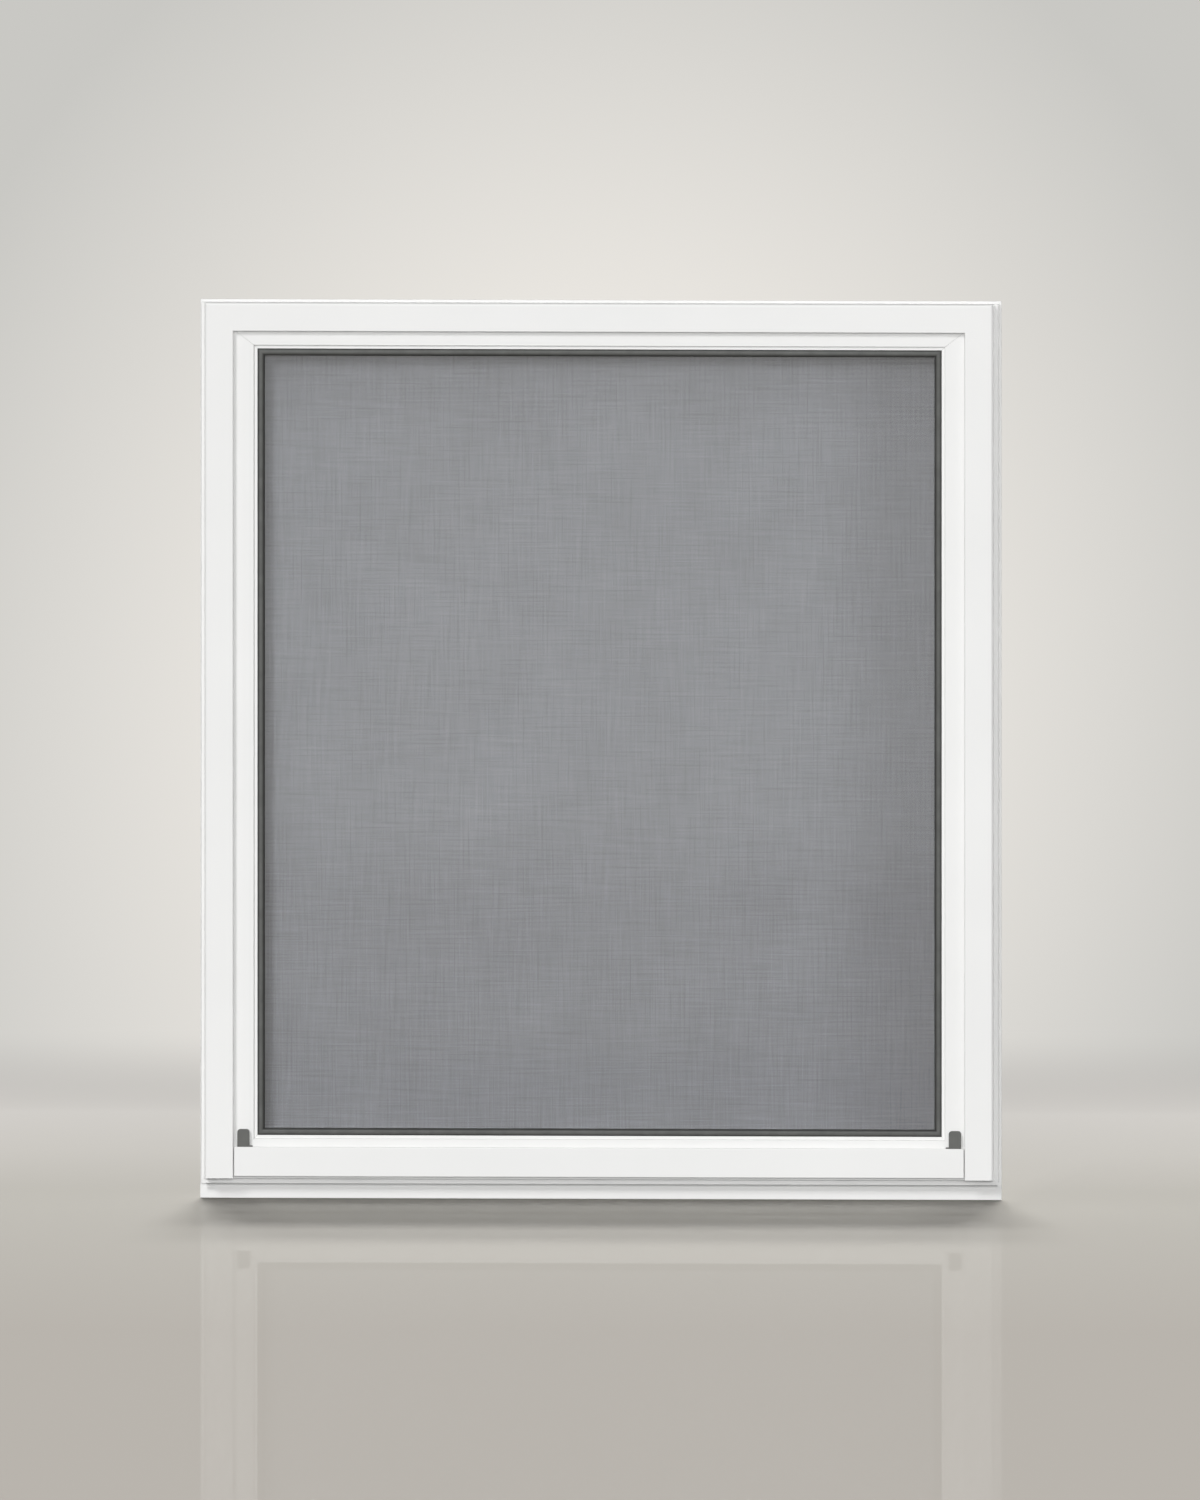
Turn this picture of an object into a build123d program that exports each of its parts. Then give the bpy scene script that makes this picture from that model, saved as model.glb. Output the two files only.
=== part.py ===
from build123d import *
import os

os.makedirs("parts", exist_ok=True)

# Fixed storm window in mm. X runs to the right, Y from the outdoor face back to the house, Z up.
# The origin lies under the middle of the window, on the plane that the lower strip stands on.

# Whole window
window_width = 810.0
window_height = 907.0
frame_depth = 30.0

# Extrusion of the head and the jambs
frame_wall = 1.6
face_width = 28.5
face_edge_radius = 2.5
lip_depth = 5.5
lip_edge_radius = 0.8
side_fin = 6.5
head_fin = 2.7
fin_thickness = 2.0
fin_edge_radius = 0.5
side_step = 4.3
step_setback = 13.0
step_edge_radius = 0.8
sash_cover = 6.0
sash_play = 2.0
screen_chamber_width = 11.6
leg_width = 11.9
leg_thickness = 2.4
port_radius = 3.2
port_bore_radius = 1.9
port_setback = 21.5
port_sink = 0.4

# Installation holes in the back legs
mount_hole_radius = 2.3
mount_sink_radius = 4.2
mount_sink_depth = 1.4
mount_row_spacing = 600.0
mount_head_spacing = 400.0

# Sill and the lower strip
sill_edge_height = 5.1
sill_end_gap = 0.2
sill_tongue = 9.5
extension_show = 15.6
extension_wall = 1.4
extension_edge_radius = 0.8
weep_length = 20.0
weep_width = 4.0
weep_spacing = 250.0
weep_count = 3

# Bar between the jambs
bar_height = 29.9
bar_rise = 1.9
bar_setback = 0.4
bar_wall = 1.5
bar_depth = 6.2
bar_edge_radius = 1.2
bar_end_gap = 1.2
bar_web_height = 10.5
bead_height = 2.0
bead_depth = 0.8
bead_clearance = 0.1
bead_rise = 5.4

# Sash
sash_setback = 7.0
sash_depth = 11.4
sash_wall = 1.6
sash_ledge = 3.7
sash_step = 2.5
sash_step_slope = 0.8
sash_mitre_gap = 0.25
stile_show = 20.3
top_rail_show = 14.1
bottom_rail_show = 8.0
bottom_rail_flat = 26.3
glazing_channel = 8.1
glazing_lip = 1.4
sash_key_leg = 38.0
key_clearance = 0.15

# Pane and gasket
glass_thickness = 3.0
gasket_web = 1.6
gasket_lip = 1.3
gasket_show = 7.4
gasket_crown = 1.4
gasket_back_show = 4.5
gasket_back_taper = 0.6
gasket_corner_radius = 3.0

# Screen behind the sash
screen_frame_width = 18.0
screen_depth = 8.0
screen_wall = 0.8
screen_play = 1.4
screen_step = 17.1
groove_width = 4.4
groove_depth = 4.8
groove_edge = 1.0
cloth_thickness = 0.3
spline_height = 3.6
spline_radius = 1.5
spline_clearance = 0.1
screen_key_leg = 30.0

# Brush seals
pile_base = 0.8
pile_width = 3.2
pile_side_gap = 0.2

# Retainer clips
clip_width = 12.1
clip_height = 17.9
clip_offset = 32.7
clip_setback = 2.0
clip_corner_radius = 3.0
clip_edge_radius = 0.6
clip_foot_height = 1.4
clip_foot_reach = 3.1
clip_tang_width = 6.0
clip_tang_depth = 2.4
clip_tang_length = 5.0
clip_tang_clearance = 0.2

# Corner keys of the frame and the screws under the jambs
frame_key_leg = 45.0
frame_key_depth = 12.0
screw_radius = 1.75
screw_length = 16.0
screw_head_radius = 3.3
screw_head_height = 2.0
screw_head_chamfer = 0.9
screw_hole_radius = 2.1

# How far a cutting shape runs past what it cuts
cut_margin = 1.0

# Places that follow from the sizes above, with depths counted back from the face
face_y = -frame_depth / 2
face_half = window_width / 2 - side_fin
face_top = window_height - head_fin
pocket_floor = face_width - sash_cover - sash_play
sash_edge = face_width - sash_cover
stop_front = sash_setback + sash_depth
screen_side = pocket_floor + screen_chamber_width
leg_edge = screen_side + leg_width
leg_front = frame_depth - leg_thickness
fin_front = frame_depth - fin_thickness

sill_top = extension_show + sill_edge_height
bar_bottom = sill_top + bar_rise
bar_top = bar_bottom + bar_height
sash_bottom = bar_top + bottom_rail_show - bottom_rail_flat
sash_top = face_top - sash_edge
sash_half = face_half - sash_edge
stile_flat = sash_cover + stile_show
top_rail_flat = sash_cover + top_rail_show
lip_half = sash_half - stile_flat - sash_ledge
lip_bottom = sash_bottom + bottom_rail_flat + sash_ledge
lip_top = sash_top - top_rail_flat - sash_ledge
glass_front = sash_setback + sash_step + glazing_lip + gasket_lip
glass_back = glass_front + glass_thickness
glass_bite = glazing_channel - gasket_web
channel_front = glass_front - gasket_lip
channel_back = stop_front - sash_wall

screen_edge = screen_side + screen_play
screen_half = face_half - screen_edge
screen_bottom = sash_bottom + screen_step
screen_top = face_top - screen_edge
screen_front = leg_front - screen_depth
groove_start = screen_frame_width - groove_edge - groove_width
groove_end = screen_frame_width - groove_edge
groove_floor = leg_front - groove_depth


def rect(across_0, across_1, depth_0, depth_1):
    """A rectangle of a profile, from one distance to another across it and in depth."""
    middle = Pos((across_0 + across_1) / 2, (depth_0 + depth_1) / 2)
    return middle * Rectangle(across_1 - across_0, depth_1 - depth_0)


def outline(*points):
    """A closed profile with straight sides."""
    return make_face(Polyline(*points, close=True))


def rounding(across, depth, radius, across_sign, depth_sign):
    """What a rounded corner takes off a profile. The signs point from the corner into the profile."""
    step_across = across_sign * radius
    step_depth = depth_sign * radius
    square = Pos(across + step_across / 2, depth + step_depth / 2) * Rectangle(radius, radius)
    return square - Pos(across + step_across, depth + step_depth) * Circle(radius)


def up(profile, x, z_0, z_1):
    """A left-hand upright: the profile's width runs in +X from x."""
    plane = Plane((x, face_y, z_0), x_dir=(1, 0, 0), z_dir=(0, 0, 1))
    return extrude(plane * profile, z_1 - z_0)


def hung(profile, z, x_half):
    """A top member: the profile's width runs down from z."""
    plane = Plane((-x_half, face_y, z), x_dir=(0, 0, -1), z_dir=(1, 0, 0))
    return extrude(plane * profile, 2 * x_half)


def laid(profile, z, x_half):
    """A bottom member: the profile's width runs up from z."""
    plane = Plane((x_half, face_y, z), x_dir=(0, 0, 1), z_dir=(-1, 0, 0))
    return extrude(plane * profile, 2 * x_half)


def block(x_0, x_1, depth_0, depth_1, z_0, z_1):
    """A box between places, with its depths counted from the face."""
    middle = Pos((x_0 + x_1) / 2, face_y + (depth_0 + depth_1) / 2, (z_0 + z_1) / 2)
    return middle * Box(x_1 - x_0, depth_1 - depth_0, z_1 - z_0)


def plate(points, depth_0=-cut_margin, depth_1=frame_depth + cut_margin):
    """A prism over an outline in the window's plane, through the whole depth or between two depths."""
    plane = Plane((0, face_y + depth_1, 0), x_dir=(1, 0, 0), z_dir=(0, -1, 0))
    return extrude(plane * Polygon(*points, align=None), depth_1 - depth_0, dir=(0, -1, 0))


def mirrored(shape):
    return mirror(shape, about=Plane.YZ)


def mitred(profiles, x_half, z_0, z_1, flats, reach, gap=0):
    """The left, top and bottom members of a rectangular frame, cut where they meet at its corners.

    The profiles and the flats are those of the sides, the top and the bottom. A cut runs from the outer
    corner to the corner of the flats, and then on at 45 degrees over the reach. The sides are shorter by
    the gap at each end.
    """
    side, top, bottom = flats
    low = [(-x_half, z_0), (-x_half + side, z_0 + bottom), (-x_half + side + reach, z_0 + bottom + reach)]
    high = [(-x_half, z_1), (-x_half + side, z_1 - top), (-x_half + side + reach, z_1 - top - reach)]
    low_right = [(-x, z) for x, z in low]
    high_right = [(-x, z) for x, z in high]
    side_outline = [(x, z + gap) for x, z in low] + [(x, z - gap) for x, z in high[::-1]]
    left_piece = up(profiles[0], -x_half, z_0, z_1) & plate(side_outline)
    top_piece = hung(profiles[1], z_1, x_half) & plate(high + high_right[::-1])
    bottom_piece = laid(profiles[2], z_0, x_half) & plate(low + low_right[::-1])
    return left_piece, top_piece, bottom_piece


def ring(pieces):
    """One closed ring from the members of a mitred frame."""
    left_piece, top_piece, bottom_piece = pieces
    return left_piece + top_piece + mirrored(left_piece) + bottom_piece


def corner_key(x, z, leg_x, leg_z, wide_x, wide_z, depth_0, depth_1, down):
    """An angle key in a left-hand corner. Its upright leg runs up from z, or down from it."""
    turn = -1 if down else 1
    points = [
        (x, z),
        (x + leg_x, z),
        (x + leg_x, z + turn * wide_x),
        (x + wide_z, z + turn * wide_x),
        (x + wide_z, z + turn * leg_z),
        (x, z + turn * leg_z),
    ]
    return plate(points, depth_0, depth_1)


def save(name, *shapes):
    """Writes one node, as one solid or as a group of separate solids."""
    solids = [solid for shape in shapes for solid in shape.solids()]
    export_step(solids[0] if len(solids) == 1 else Compound(solids), f"parts/{name}.step")


# Head and jambs

port_places = [
    (frame_wall + port_radius - port_sink, port_setback),
    (pocket_floor + port_radius - port_sink, stop_front + frame_wall + port_radius - port_sink),
]


def frame_profile(fin):
    """Section of the frame from the outer edge of its face, with the fin standing out past that edge."""
    back = frame_depth - frame_wall
    section = rect(0, face_width, 0, frame_wall)
    section += rect(0, frame_wall, 0, frame_depth)
    section += rect(-fin, frame_wall, fin_front, frame_depth)
    section -= rounding(-fin, fin_front, fin_edge_radius, 1, 1)
    section += rect(face_width - frame_wall, face_width, 0, lip_depth)
    section += rect(pocket_floor - frame_wall, pocket_floor, 0, frame_depth)
    section += rect(pocket_floor - frame_wall, screen_side, stop_front, stop_front + frame_wall)
    section += rect(screen_side - frame_wall, screen_side, stop_front, frame_depth)
    section += rect(0, screen_side, back, frame_depth)
    section += rect(screen_side - frame_wall, leg_edge, leg_front, frame_depth)
    for across, depth in port_places:
        section += Pos(across, depth) * Circle(port_radius)
    for across, depth in port_places:
        section -= Pos(across, depth) * Circle(port_bore_radius)
    section -= rounding(0, 0, face_edge_radius, 1, 1)
    section -= rounding(face_width, 0, lip_edge_radius, -1, 1)
    return section


def jamb_step():
    """The hollow step beside the face of the left jamb, closed at its upper end."""
    outer = rect(-side_step, 0, step_setback, frame_depth)
    outer -= rounding(-side_step, step_setback, step_edge_radius, 1, 1)
    hollow = rect(frame_wall - side_step, 0, step_setback + frame_wall, frame_depth - frame_wall)
    step = up(outer, -face_half, sill_top, face_top)
    return step - up(hollow, -face_half, sill_top, face_top - frame_wall)


def mount_hole(x, z):
    """A countersunk screw hole through a back leg."""
    back = Pos(x, face_y + frame_depth, z) * Rot(X=-90)
    bore = back * Cylinder(mount_hole_radius, 2 * (leg_thickness + cut_margin))
    sink_middle = -leg_thickness + mount_sink_depth / 2
    sink = back * Pos(0, 0, sink_middle) * Cone(mount_sink_radius, mount_hole_radius, mount_sink_depth)
    return bore + sink


corner_x = -face_half
head_cut = plate(
    [
        (corner_x, face_top),
        (corner_x - side_fin, face_top + side_fin),
        (-corner_x + side_fin, face_top + side_fin),
        (-corner_x, face_top),
        (-corner_x - leg_edge, face_top - leg_edge),
        (corner_x + leg_edge, face_top - leg_edge),
    ]
)
mount_x = face_half - screen_side - leg_width / 2
mount_middle_z = (sill_top + face_top) / 2
mount_head_z = face_top - screen_side - leg_width / 2

head = hung(frame_profile(head_fin), face_top, window_width / 2) & head_cut
for side in (-1, 1):
    head -= mount_hole(side * mount_head_spacing / 2, mount_head_z)

jamb = up(frame_profile(side_fin), -face_half, sill_top, window_height) - head_cut + jamb_step()
for row in (-1, 0, 1):
    jamb -= mount_hole(-mount_x, mount_middle_z + row * mount_row_spacing / 2)

save("frame_head", head)
save("frame_jamb_left", jamb)
save("frame_jamb_right", mirrored(jamb))

# Angle keys in the front chambers of the mitred head corners

key_low = frame_wall
key_width = pocket_floor - 2 * frame_wall - key_clearance
frame_key = corner_key(
    -face_half + key_low,
    face_top - key_low,
    frame_key_leg,
    frame_key_leg,
    key_width,
    key_width,
    frame_wall,
    frame_wall + frame_key_depth,
    down=True,
)
frame_key -= up(rounding(0, 0, face_edge_radius, 1, 1), -face_half, sill_top, window_height)
save("frame_corner_keys", frame_key, mirrored(frame_key))

# Sill: an upside-down channel with two hollow steps between the jambs and a tongue for the lower strip

seat_half = face_half - pocket_floor - sill_end_gap
step_half = face_half - screen_side - sill_end_gap
leg_half = face_half - leg_edge - sill_end_gap

channel_half = face_half + side_step
tongue_back = frame_depth - extension_wall
tongue_front = tongue_back - frame_wall
channel_profile = rect(0, sill_edge_height, step_setback, frame_depth)
channel_profile -= rect(0, sill_edge_height - frame_wall, step_setback + frame_wall, tongue_front)
channel_profile += rect(-sill_tongue, 0, tongue_front, tongue_back)
seat_height = sash_bottom - sill_top
seat_profile = rect(0, seat_height, bar_depth, stop_front)
seat_profile -= rect(frame_wall, seat_height - frame_wall, bar_depth + frame_wall, stop_front - frame_wall)
groove_low = bar_rise + bead_rise - bead_clearance
groove_high = groove_low + bead_height + 2 * bead_clearance
seat_profile -= rect(groove_low, groove_high, bar_depth, bar_depth + bead_depth + bead_clearance)
step_height = screen_bottom - sill_top
step_profile = rect(0, step_height, stop_front, leg_front)
step_profile -= rect(frame_wall, step_height - frame_wall, stop_front + frame_wall, leg_front - frame_wall)
sill_leg_top = screen_bottom + leg_width - screen_play
sill = laid(channel_profile, extension_show, channel_half)
sill += laid(rect(0, sill_edge_height, fin_front, frame_depth), extension_show, window_width / 2)
sill += laid(seat_profile, sill_top, seat_half)
sill += laid(step_profile, sill_top, step_half)
sill += laid(rect(0, sill_leg_top - sill_top, leg_front, frame_depth), sill_top, leg_half)

weep_slot = SlotOverall(weep_length, weep_width)
weep_depths = [
    (sash_bottom, (bar_depth + stop_front) / 2),
    (sill_top, (bar_depth + frame_wall + step_setback) / 2),
]
for place in range(weep_count):
    weep_x = (place - (weep_count - 1) / 2) * weep_spacing
    for weep_z, weep_depth in weep_depths:
        weep_place = Pos(weep_x, face_y + weep_depth, weep_z)
        sill -= extrude(weep_place * weep_slot, frame_wall + cut_margin, both=True)
screw_places = [(-face_half + across, depth) for across, depth in port_places]
for screw_x, screw_depth in screw_places:
    for side in (-1, 1):
        screw_axis = Pos(side * screw_x, face_y + screw_depth, sill_top)
        sill -= screw_axis * Cylinder(screw_hole_radius, 2 * (frame_wall + cut_margin))
save("frame_sill", sill)


def frame_screw(x, depth):
    """A screw with a bevelled head under the sill, up into a port of the jamb."""
    under = sill_top - frame_wall
    above = (Align.CENTER, Align.CENTER, Align.MIN)
    below = (Align.CENTER, Align.CENTER, Align.MAX)
    shank = Cylinder(screw_radius, screw_length, align=above)
    screw_head = Cylinder(screw_head_radius, screw_head_height, align=below)
    rim = screw_head.edges().group_by(Axis.Z)[0]
    return Pos(x, face_y + depth, under) * (shank + chamfer(rim, screw_head_chamfer))


frame_screws = [frame_screw(side * x, depth) for x, depth in screw_places for side in (-1, 1)]
save("frame_screws", *frame_screws)

# Lower strip: a trough pressed up over the sill's tongue, in the plane of the fins

extension_front = tongue_front - extension_wall
extension_profile = rect(0, extension_show, extension_front, frame_depth)
extension_profile -= rect(extension_wall, extension_show, tongue_front, tongue_back)
extension_profile -= rounding(0, extension_front, extension_edge_radius, 1, 1)
save("sill_extension", laid(extension_profile, 0, window_width / 2))

# Retainer clips on the bar, and the bar that closes the face between the jambs

clip_left = -face_half + clip_offset
clip_depth = sash_setback - clip_setback
clip_middle = clip_left + clip_width / 2
clip_tang_middle = clip_setback + (bar_depth - clip_setback) / 2


def retainer_clip():
    """The left-hand clip: a rounded tab on a foot, with a tang that snaps into the bar."""
    front = Rectangle(clip_width, clip_height, align=(Align.CENTER, Align.MIN))
    front = fillet(front.vertices().group_by(Axis.Y)[-1], clip_corner_radius)
    plane = Plane((clip_middle, face_y + sash_setback, bar_top), x_dir=(1, 0, 0), z_dir=(0, -1, 0))
    tab = extrude(plane * front, clip_depth)
    tab = fillet(tab.faces().sort_by(Axis.Y)[0].edges(), clip_edge_radius)
    foot_end = clip_left + clip_width + clip_foot_reach
    tab += block(clip_middle, foot_end, clip_setback, bar_depth, bar_top, bar_top + clip_foot_height)
    half_tang = clip_tang_width / 2
    tang_front = clip_tang_middle - clip_tang_depth / 2
    tab += block(
        clip_middle - half_tang,
        clip_middle + half_tang,
        tang_front,
        tang_front + clip_tang_depth,
        bar_top - clip_tang_length,
        bar_top,
    )
    return tab


clip = retainer_clip()
save("retainer_clip_left", clip)
save("retainer_clip_right", mirrored(clip))

bar_profile = rect(0, bar_height, bar_setback, bar_setback + bar_wall)
bar_profile += rect(0, bar_wall, bar_setback, bar_depth)
bar_profile += rect(bar_height - bar_wall, bar_height, bar_setback, bar_depth)
bar_profile += rect(0, bar_web_height, bar_depth - bar_wall, bar_depth)
bar_profile += rect(bead_rise, bead_rise + bead_height, bar_depth - bar_wall, bar_depth + bead_depth)
bar_profile -= rounding(0, bar_setback, bar_edge_radius, 1, 1)
bar_profile -= rounding(bar_height, bar_setback, bar_edge_radius, -1, 1)
bar = laid(bar_profile, bar_bottom, face_half - face_width - bar_end_gap)
half_slot = clip_tang_width / 2 + clip_tang_clearance
half_slot_depth = clip_tang_depth / 2 + clip_tang_clearance
for side in (-1, 1):
    slot_x = side * clip_middle
    bar -= block(
        slot_x - half_slot,
        slot_x + half_slot,
        clip_tang_middle - half_slot_depth,
        clip_tang_middle + half_slot_depth,
        bar_top - bar_wall - cut_margin,
        bar_top + cut_margin,
    )
save("bottom_bar", bar)

# Sash: hollow mitred members with a stepped ledge round the pane and a channel for it


def sash_profile(flat):
    """Section of a sash member, from its outer edge to the lips of its glazing channel."""
    lip = flat + sash_ledge
    floor = lip - glazing_channel
    lip_front = sash_setback + sash_step
    section = outline(
        (0, sash_setback),
        (flat, sash_setback),
        (flat + sash_step_slope, lip_front),
        (lip, lip_front),
        (lip, channel_front),
        (floor, channel_front),
        (floor, channel_back),
        (lip, channel_back),
        (lip, stop_front),
        (0, stop_front),
    )
    return section - rect(sash_wall, floor - sash_wall, sash_setback + sash_wall, stop_front - sash_wall)


sash_flats = (stile_flat, top_rail_flat, bottom_rail_flat)
sash_members = mitred(
    [sash_profile(flat) for flat in sash_flats],
    sash_half,
    sash_bottom,
    sash_top,
    sash_flats,
    sash_ledge + cut_margin,
    sash_mitre_gap,
)
save("sash_stile_left", sash_members[0])
save("sash_stile_right", mirrored(sash_members[0]))
save("sash_top_rail", sash_members[1])
save("sash_bottom_rail", sash_members[2])


def sash_key(z, rail_flat, down):
    """The angle key of a left-hand sash corner, in the hollows of the two members."""
    rail_hollow = rail_flat + sash_ledge - glazing_channel - sash_wall
    stile_hollow = rail_hollow * stile_flat / rail_flat
    return corner_key(
        -sash_half + sash_wall,
        z,
        sash_key_leg,
        sash_key_leg,
        rail_hollow - sash_wall - key_clearance,
        stile_hollow - sash_wall - key_clearance,
        sash_setback + sash_wall,
        stop_front - sash_wall - key_clearance,
        down,
    )


low_key = sash_key(sash_bottom + sash_wall, bottom_rail_flat, down=False)
high_key = sash_key(sash_top - sash_wall, top_rail_flat, down=True)
save("sash_corner_keys", low_key, mirrored(low_key), high_key, mirrored(high_key))

# Gasket wrapped round the edge of the pane, with a rounded bead that shows

gasket_lead = glazing_channel
bead_end = gasket_lead + gasket_show
back_end = gasket_lead + gasket_back_show
bead_crown = ThreePointArc(
    (gasket_lead, channel_front),
    (gasket_lead + gasket_show / 2, channel_front - gasket_crown),
    (bead_end, glass_front),
)
gasket_sides = Polyline(
    (bead_end, glass_front),
    (gasket_web, glass_front),
    (gasket_web, glass_back),
    (back_end, glass_back),
    (back_end - gasket_back_taper, channel_back),
    (0, channel_back),
    (0, channel_front),
    (gasket_lead, channel_front),
)
gasket_profile = make_face(bead_crown + gasket_sides)
gasket = ring(
    mitred(
        [gasket_profile] * 3,
        lip_half + glazing_channel,
        lip_bottom - glazing_channel,
        lip_top + glazing_channel,
        (glazing_channel,) * 3,
        gasket_show + cut_margin,
    )
)
for corner_side in (-1, 1):
    for corner_z, corner_turn in ((lip_bottom, 1), (lip_top, -1)):
        wedge = rounding(corner_side * lip_half, corner_z, gasket_corner_radius, -corner_side, corner_turn)
        wedge_plane = Plane((0, face_y + channel_front, 0), x_dir=(1, 0, 0), z_dir=(0, -1, 0))
        gasket -= extrude(wedge_plane * wedge, gasket_crown + cut_margin)
save("glazing_gasket", gasket)

pane_half = lip_half + glass_bite
save("glass_pane", block(
    -pane_half, pane_half, glass_front, glass_back, lip_bottom - glass_bite, lip_top + glass_bite
))

# Screen: roll-formed members with a groove at the back for the cloth and its spline

screen_profile = rect(0, screen_frame_width, screen_front, leg_front)
screen_profile -= rect(
    screen_wall,
    groove_start - screen_wall,
    screen_front + screen_wall,
    leg_front - screen_wall,
)
screen_profile -= rect(groove_start, groove_end, groove_floor, leg_front)
screen_members = mitred(
    [screen_profile] * 3,
    screen_half,
    screen_bottom,
    screen_top,
    (screen_frame_width,) * 3,
    cut_margin,
)
save("screen_stile_left", screen_members[0])
save("screen_stile_right", mirrored(screen_members[0]))
save("screen_rail_top", screen_members[1])
save("screen_rail_bottom", screen_members[2])


def screen_key(z, down):
    """The angle key of a left-hand screen corner."""
    leg_thick = groove_start - 2 * screen_wall - key_clearance
    return corner_key(
        -screen_half + screen_wall,
        z,
        screen_key_leg,
        screen_key_leg,
        leg_thick,
        leg_thick,
        screen_front + screen_wall,
        leg_front - screen_wall - key_clearance,
        down,
    )


low_screen_key = screen_key(screen_bottom + screen_wall, down=False)
high_screen_key = screen_key(screen_top - screen_wall, down=True)
save(
    "screen_corner_keys",
    low_screen_key,
    mirrored(low_screen_key),
    high_screen_key,
    mirrored(high_screen_key),
)

# Cloth stretched over the back of the screen frame and tucked round the spline in its groove

tuck_outer = groove_start + cloth_thickness
tuck_inner = groove_end - cloth_thickness
tuck_floor = groove_floor + cloth_thickness
cloth_rim = rect(groove_start, groove_end, groove_floor, leg_front)
cloth_rim -= rect(tuck_outer, tuck_inner, tuck_floor, leg_front)
cloth_edge = {"flats": (screen_frame_width,) * 3, "reach": cut_margin}
cloth = ring(mitred([cloth_rim] * 3, screen_half, screen_bottom, screen_top, **cloth_edge))
cloth += block(
    -screen_half + tuck_inner,
    screen_half - tuck_inner,
    leg_front,
    leg_front + cloth_thickness,
    screen_bottom + tuck_inner,
    screen_top - tuck_inner,
)
save("screen_cloth", cloth)

spline_side_0 = tuck_outer + spline_clearance
spline_side_1 = tuck_inner - spline_clearance
spline_profile = rect(spline_side_0, spline_side_1, tuck_floor, tuck_floor + spline_height)
spline_top = tuck_floor + spline_height
spline_profile -= rounding(spline_side_0, spline_top, spline_radius, 1, -1)
spline_profile -= rounding(spline_side_1, spline_top, spline_radius, -1, -1)
spline = ring(mitred([spline_profile] * 3, screen_half, screen_bottom, screen_top, **cloth_edge))
save("screen_spline", spline)

# Brush seals behind the face, against the front of the sash

pile_start = pocket_floor + pile_side_gap
pile_end = face_width - frame_wall - pile_side_gap
pile_middle = (sash_edge + pile_end) / 2
pile_profile = rect(pile_start, pile_end, frame_wall, frame_wall + pile_base)
pile_profile += rect(pile_middle - pile_width / 2, pile_middle + pile_width / 2, frame_wall, sash_setback)
pile = up(pile_profile, -face_half, bar_top, face_top - face_width)
save("pile_strip_left", pile)
save("pile_strip_right", mirrored(pile))
save("pile_strip_head", hung(pile_profile, face_top, face_half - face_width))
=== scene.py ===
import math

import bmesh
import bpy
from bpy.props import FloatProperty, FloatVectorProperty, PointerProperty
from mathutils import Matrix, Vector


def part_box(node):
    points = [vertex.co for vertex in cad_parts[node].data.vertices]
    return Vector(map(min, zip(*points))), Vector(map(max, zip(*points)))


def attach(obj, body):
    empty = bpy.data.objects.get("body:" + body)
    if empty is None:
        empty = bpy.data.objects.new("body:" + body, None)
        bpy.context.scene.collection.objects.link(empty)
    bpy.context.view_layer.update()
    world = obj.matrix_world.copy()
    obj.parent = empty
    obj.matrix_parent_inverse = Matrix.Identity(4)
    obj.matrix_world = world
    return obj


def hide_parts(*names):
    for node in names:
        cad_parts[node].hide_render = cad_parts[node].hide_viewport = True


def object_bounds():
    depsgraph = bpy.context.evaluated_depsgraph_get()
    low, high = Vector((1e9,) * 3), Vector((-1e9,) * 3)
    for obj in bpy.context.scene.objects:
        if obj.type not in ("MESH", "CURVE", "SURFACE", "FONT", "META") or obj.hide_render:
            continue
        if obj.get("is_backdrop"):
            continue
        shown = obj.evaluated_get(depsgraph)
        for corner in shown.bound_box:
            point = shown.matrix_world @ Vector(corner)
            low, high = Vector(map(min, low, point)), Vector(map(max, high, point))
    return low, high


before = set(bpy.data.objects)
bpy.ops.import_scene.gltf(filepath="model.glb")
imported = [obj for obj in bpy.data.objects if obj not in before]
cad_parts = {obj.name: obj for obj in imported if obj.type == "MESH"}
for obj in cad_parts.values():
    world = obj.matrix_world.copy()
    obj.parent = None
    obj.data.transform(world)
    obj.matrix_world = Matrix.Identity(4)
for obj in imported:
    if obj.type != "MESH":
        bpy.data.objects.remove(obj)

bl_info = {
    "name": "Fixed storm window",
    "version": (1, 0, 0),
    "blender": (4, 5, 0),
    "location": "3D View > Sidebar > Storm Window",
    "description": "Finishes, woven screen, brush seals and studio of a fixed storm window",
    "category": "Object",
}

PAINTED = (
    "frame_head",
    "frame_jamb_left",
    "frame_jamb_right",
    "frame_sill",
    "sill_extension",
    "bottom_bar",
    "sash_top_rail",
    "sash_bottom_rail",
    "sash_stile_left",
    "sash_stile_right",
)
SCREEN_FRAME = ("screen_rail_top", "screen_rail_bottom", "screen_stile_left", "screen_stile_right")
CLIPS = ("retainer_clip_left", "retainer_clip_right")
PLATED = ("frame_screws", "frame_corner_keys", "sash_corner_keys")

# Where a change of the floor or the backdrop starts and ends, in metres.
FRONT_SPAN = (-3.4, -0.3)
AWAY_SPAN = (0.2, 2.6)
BEYOND_SPAN = (-10.0, -7.8)
MIRROR_SPAN = (0.3, 1.2)
FOOT_SHADE_SPAN = (-0.17, -0.03)
BESIDE_SPAN = (0.39, 0.43)
GLOW_SPAN = (0.2, 0.86)
CURVE_SPAN = (0.0, 0.07)

# How close to a plane an edge or a face lies that is picked there, in metres.
CLOSE = 0.0001

# How the floor mirrors, how the glow is squeezed, and how dim the studio is in mirrors and behind the pane.
MIRROR_SHARE = 0.0965
MIRROR_IOR = 1.3
MIRROR_ROUGHNESS = 0.008
GLOW_SQUEEZE = 1.16
DIMMED = 0.4


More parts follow.
